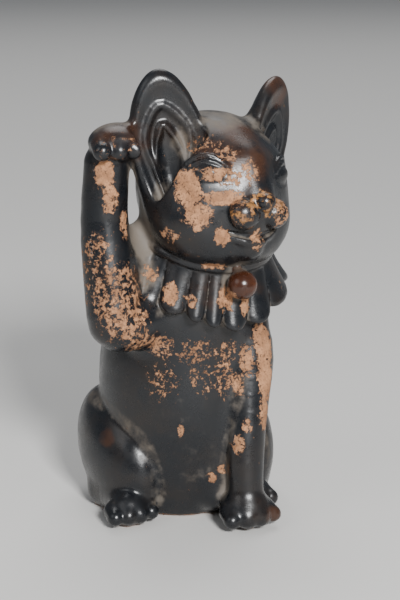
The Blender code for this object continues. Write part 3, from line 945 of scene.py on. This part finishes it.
# Where the lacquer has flaked off: most of all from the cheek, the raised arm, the chest and the standing
# leg. A patch over 0.9 is nearly bare, one near 0.6 is speckled, and one under 0.5 has few specks.
WORN = [
    *beside(
        HEAD,
        ((-17.5, -17.5, 4), (3.6, 7, 7.5), 0.95),
        ((-15.5, -20.5, -3.5), (4.6, 6, 5.6), 0.8),
        ((-9, -24.8, 2), (8.5, 5, 2.6), 0.92),
        ((-10.1, -22.4, 9.4), (4.6, 3.4, 2.4), 0.86),
        ((-9, -12, 17), (6, 7, 4), 0.52),
        ((-5, -21, 15.5), (4, 4, 3), 0.55),
        ((1, -26, 10.5), (3.0, 4, 5.0), 0.66),
        ((-5, -24, 8.5), (4, 5, 4), 0.58),
        ((-8.8, -25, -10.6), (3, 3, 3), 0.95),
        ((3, -28, -12.5), (3, 4, 4.5), 0.62),
        ((11, -29.5, -3.5), (3.5, 5, 6), 0.6),
        ((-22.5, -15, -10.5), (4, 4, 2.5), 0.62),
        ((5, 23, 6), (8, 6, 7), 0.6),
        ((22, 8, -6), (5, 7, 6), 0.58),
        ((-5, -31, -2), (6, 5, 6), 0.36),
    ),
    *beside(
        COLLAR,
        ((-8, -20.5, -5.5), (5, 3, 1.8), 0.8),
        ((-25, -8, -9), (3, 3.5, 3.5), 0.75),
        ((-21, -14, -15), (3, 3.4, 4), 0.9),
        ((-15.5, -19, -17), (2.6, 4, 2.6), 0.7),
        ((-4, -23, -17), (3.2, 5, 5), 0.85),
        ((3.5, -24, -20), (2.4, 5, 4), 0.95),
        ((24, -15, -14), (3, 4, 5), 0.6),
    ),
    *beside(
        PAW,
        ((-5, -3.5, -11), (3.0, 5, 5), 0.95),
        ((-3.6, -4.5, -19), (2.8, 5, 5.5), 0.8),
        ((1.8, -5, -28), (2.2, 4, 6), 0.7),
        ((-8, -5, -37), (5, 8, 8), 0.56),
        ((-3, -8, -50), (11, 9, 11), 0.57),
        ((-1, -10, -59), (9, 8, 8), 0.62),
        ((5, -8, -67), (6, 7, 5), 0.6),
        ((-11, 4, -48), (5, 8, 14), 0.45),
        ((-3, -8, -2), (8, 6, 4), 0.34),
    ),
    *beside(
        NECK,
        ((-22, -9, -30), (4.5, 6, 5), 0.6),
        ((-11, -14, -32), (8, 6, 4.5), 0.54),
        ((-9, -14.5, -41), (5, 5, 6), 0.5),
        ((1, -16, -32), (5, 5, 4), 0.5),
        ((-1, -15.5, -42), (4, 5, 8), 0.54),
        ((6, -18, -36), (2.6, 4, 5.5), 0.8),
        ((3, -17, -44), (2.4, 4, 4.5), 0.66),
        ((-20, -8, -42), (6, 6, 8), 0.42),
        ((-2, 26, -14), (10, 8, 7), 0.6),
        ((13, 24, -32), (7, 8, 11), 0.62),
        ((23, 6, -34), (5, 8, 9), 0.58),
    ),
    *beside(
        FOOT,
        ((9, 4, 57), (4.2, 6, 8), 0.92),
        ((8.6, 2, 45), (3.8, 5, 9), 0.95),
        ((7, 0, 33), (2.8, 4, 6.5), 0.8),
        ((-0.3, -0.7, 30), (2, 2.5, 2.5), 0.7),
        ((-3.4, -0.2, 23.5), (2.4, 3, 3.4), 0.8),
        ((-9.2, 7.7, 10.3), (1.8, 2, 1.8), 0.8),
        ((-6.4, 6.4, 13.2), (1.8, 2, 1.8), 0.8),
        ((-20, 9.8, 28.4), (1.2, 2, 2.6), 0.75),
        ((13, 7, 30), (4, 7, 16), 0.55),
        ((31, 40, 20), (6, 10, 8), 0.6),
        ((-20, 66, 24), (8, 7, 9), 0.6),
    ),
]

# Where dust has settled besides the folds
DUSTY = [
    *beside(
        HEAD,
        ((-3, 2, 24), (16, 16, 6), 0.5),
        ((-14, -7, 17.5), (4, 6, 5), 0.55),
        ((14, -7, 19), (7, 7, 6), 0.6),
        ((-20, -7, 5), (3, 5, 9), 0.4),
    ),
    *beside(
        PAW,
        ((9, 0, -34), (4, 6, 10), 1.1),
        ((0, 3, 4), (9, 6, 3), 0.6),
        ((10, -1, -46), (3.5, 6, 8), 0.8),
    ),
    *beside(FOOT, ((-14, 6, 14), (9, 10, 16), 0.3), ((-20, 9, 32), (9, 10, 10), 0.24)),
    *trail(FOOT, [(1, 4, 48), (-2, 3.4, 38), (-4, 4, 28), (-5.5, 5, 15), (-6.5, 5, 4)], 2.8, 0.45),
    *trail(FOOT, [(-36, 50, 32), (-35, 33, 31), (-30.5, 20, 24), (-26.5, 17, 13), (-25, 17, 3)], 3.2, 0.46),
    *trail(FOOT, [(26, 49, 32), (25, 33, 31), (20, 20, 22), (17, 17, 8)], 3.2, 0.42),
]

# Where the coat is rubbed thin and shows brown
BROWNED = [
    *beside(
        HEAD,
        ((-1, -17, 19), (15, 9, 8), 0.6),
        ((27, 2, 34), (6, 6, 8), 0.9),
        ((-1, -29, 0), (11, 6, 7), 0.42),
        ((1, -23, 11), (7, 6, 8), 0.85),
    ),
    *beside(PAW, ((0, -4, 0), (10, 8, 8), 0.7)),
    *beside(FOOT, ((-39, 31, 22), (3.5, 4, 3.5), 0.7), ((7, -7.5, -1), (4, 4, 3), 0.6)),
    *beside(COLLAR, ((0, -20, -16), (22, 12, 6), 0.3)),
]

# Where gold-brown specks are left, on the snout and the raised toes
GILDED = [
    *beside(
        HEAD,
        ((-5.5, -31, -1), (6, 5, 6), 0.7),
        ((2.5, -32, 1.5), (5.5, 5, 5), 0.74),
        ((9, -30, -2), (5, 5, 6), 0.68),
    ),
    *beside(PAW, ((-2, -8, -1), (8, 4, 3), 0.3)),
]

for node in SLOTS:
    sculpted_piece(node)


# The floor, the lights and the camera


def softbox(name, azimuth, elevation, distance, size, power):
    """A square lamp aimed at the figure from this direction, as the camera angles are counted."""
    lamp = bpy.data.lights.new(name, "AREA")
    lamp.size = size
    lamp.energy = power
    rig = bpy.data.objects.new(name, lamp)
    bpy.context.scene.collection.objects.link(rig)
    aim(rig, azimuth, elevation, distance)


def aim(thing, azimuth, elevation, distance):
    """Places a lamp or camera this far from the figure, and turns it towards it."""
    a, e = radians(azimuth), radians(elevation)
    back = Vector((sin(a) * cos(e), -cos(a) * cos(e), sin(e)))
    thing.location = TARGET + back * distance
    thing.rotation_euler = back.to_track_quat("Z", "Y").to_euler()


# What the camera and the lamps look at, a little off the middle of the CAD model, in metres
TARGET = (cad_box[0] + cad_box[1]) / 2 + Vector((0.00465, -0.0038, -0.003))

bpy.ops.mesh.primitive_plane_add(size=8)
floor = bpy.context.object
floor.name = "pale_floor"
paint, _, shader = new_material("pale_floor_paint")
shader.inputs["Base Color"].default_value = FLOOR_GREY
shader.inputs["Roughness"].default_value = 0.8
floor.data.materials.append(paint)
floor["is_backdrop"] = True

world = bpy.data.worlds.new("pale_room")
world.use_nodes = True
sky = world.node_tree.nodes["Background"]
sky.inputs["Color"].default_value = (0.74, 0.78, 0.84, 1)
sky.inputs["Strength"].default_value = 0.27
bpy.context.scene.world = world

softbox("key_light", azimuth=-10, elevation=28, distance=1.3, size=0.24, power=30)
softbox("fill_light", azimuth=-80, elevation=35, distance=1.5, size=0.8, power=3)
softbox("top_light", azimuth=150, elevation=62, distance=3.0, size=2.0, power=45)

lens = bpy.data.cameras.new("camera")
lens.sensor_fit = "VERTICAL"
lens.sensor_height = 36
lens.lens = 90
lens.clip_start = 0.01
camera = bpy.data.objects.new("camera", lens)
bpy.context.scene.collection.objects.link(camera)
aim(camera, azimuth=-27, elevation=14, distance=0.52)
bpy.context.scene.camera = camera

sizes = {"cad": cad_box, "visual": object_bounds()}
{name: [list(corner) for corner in box] for name, box in sizes.items()}
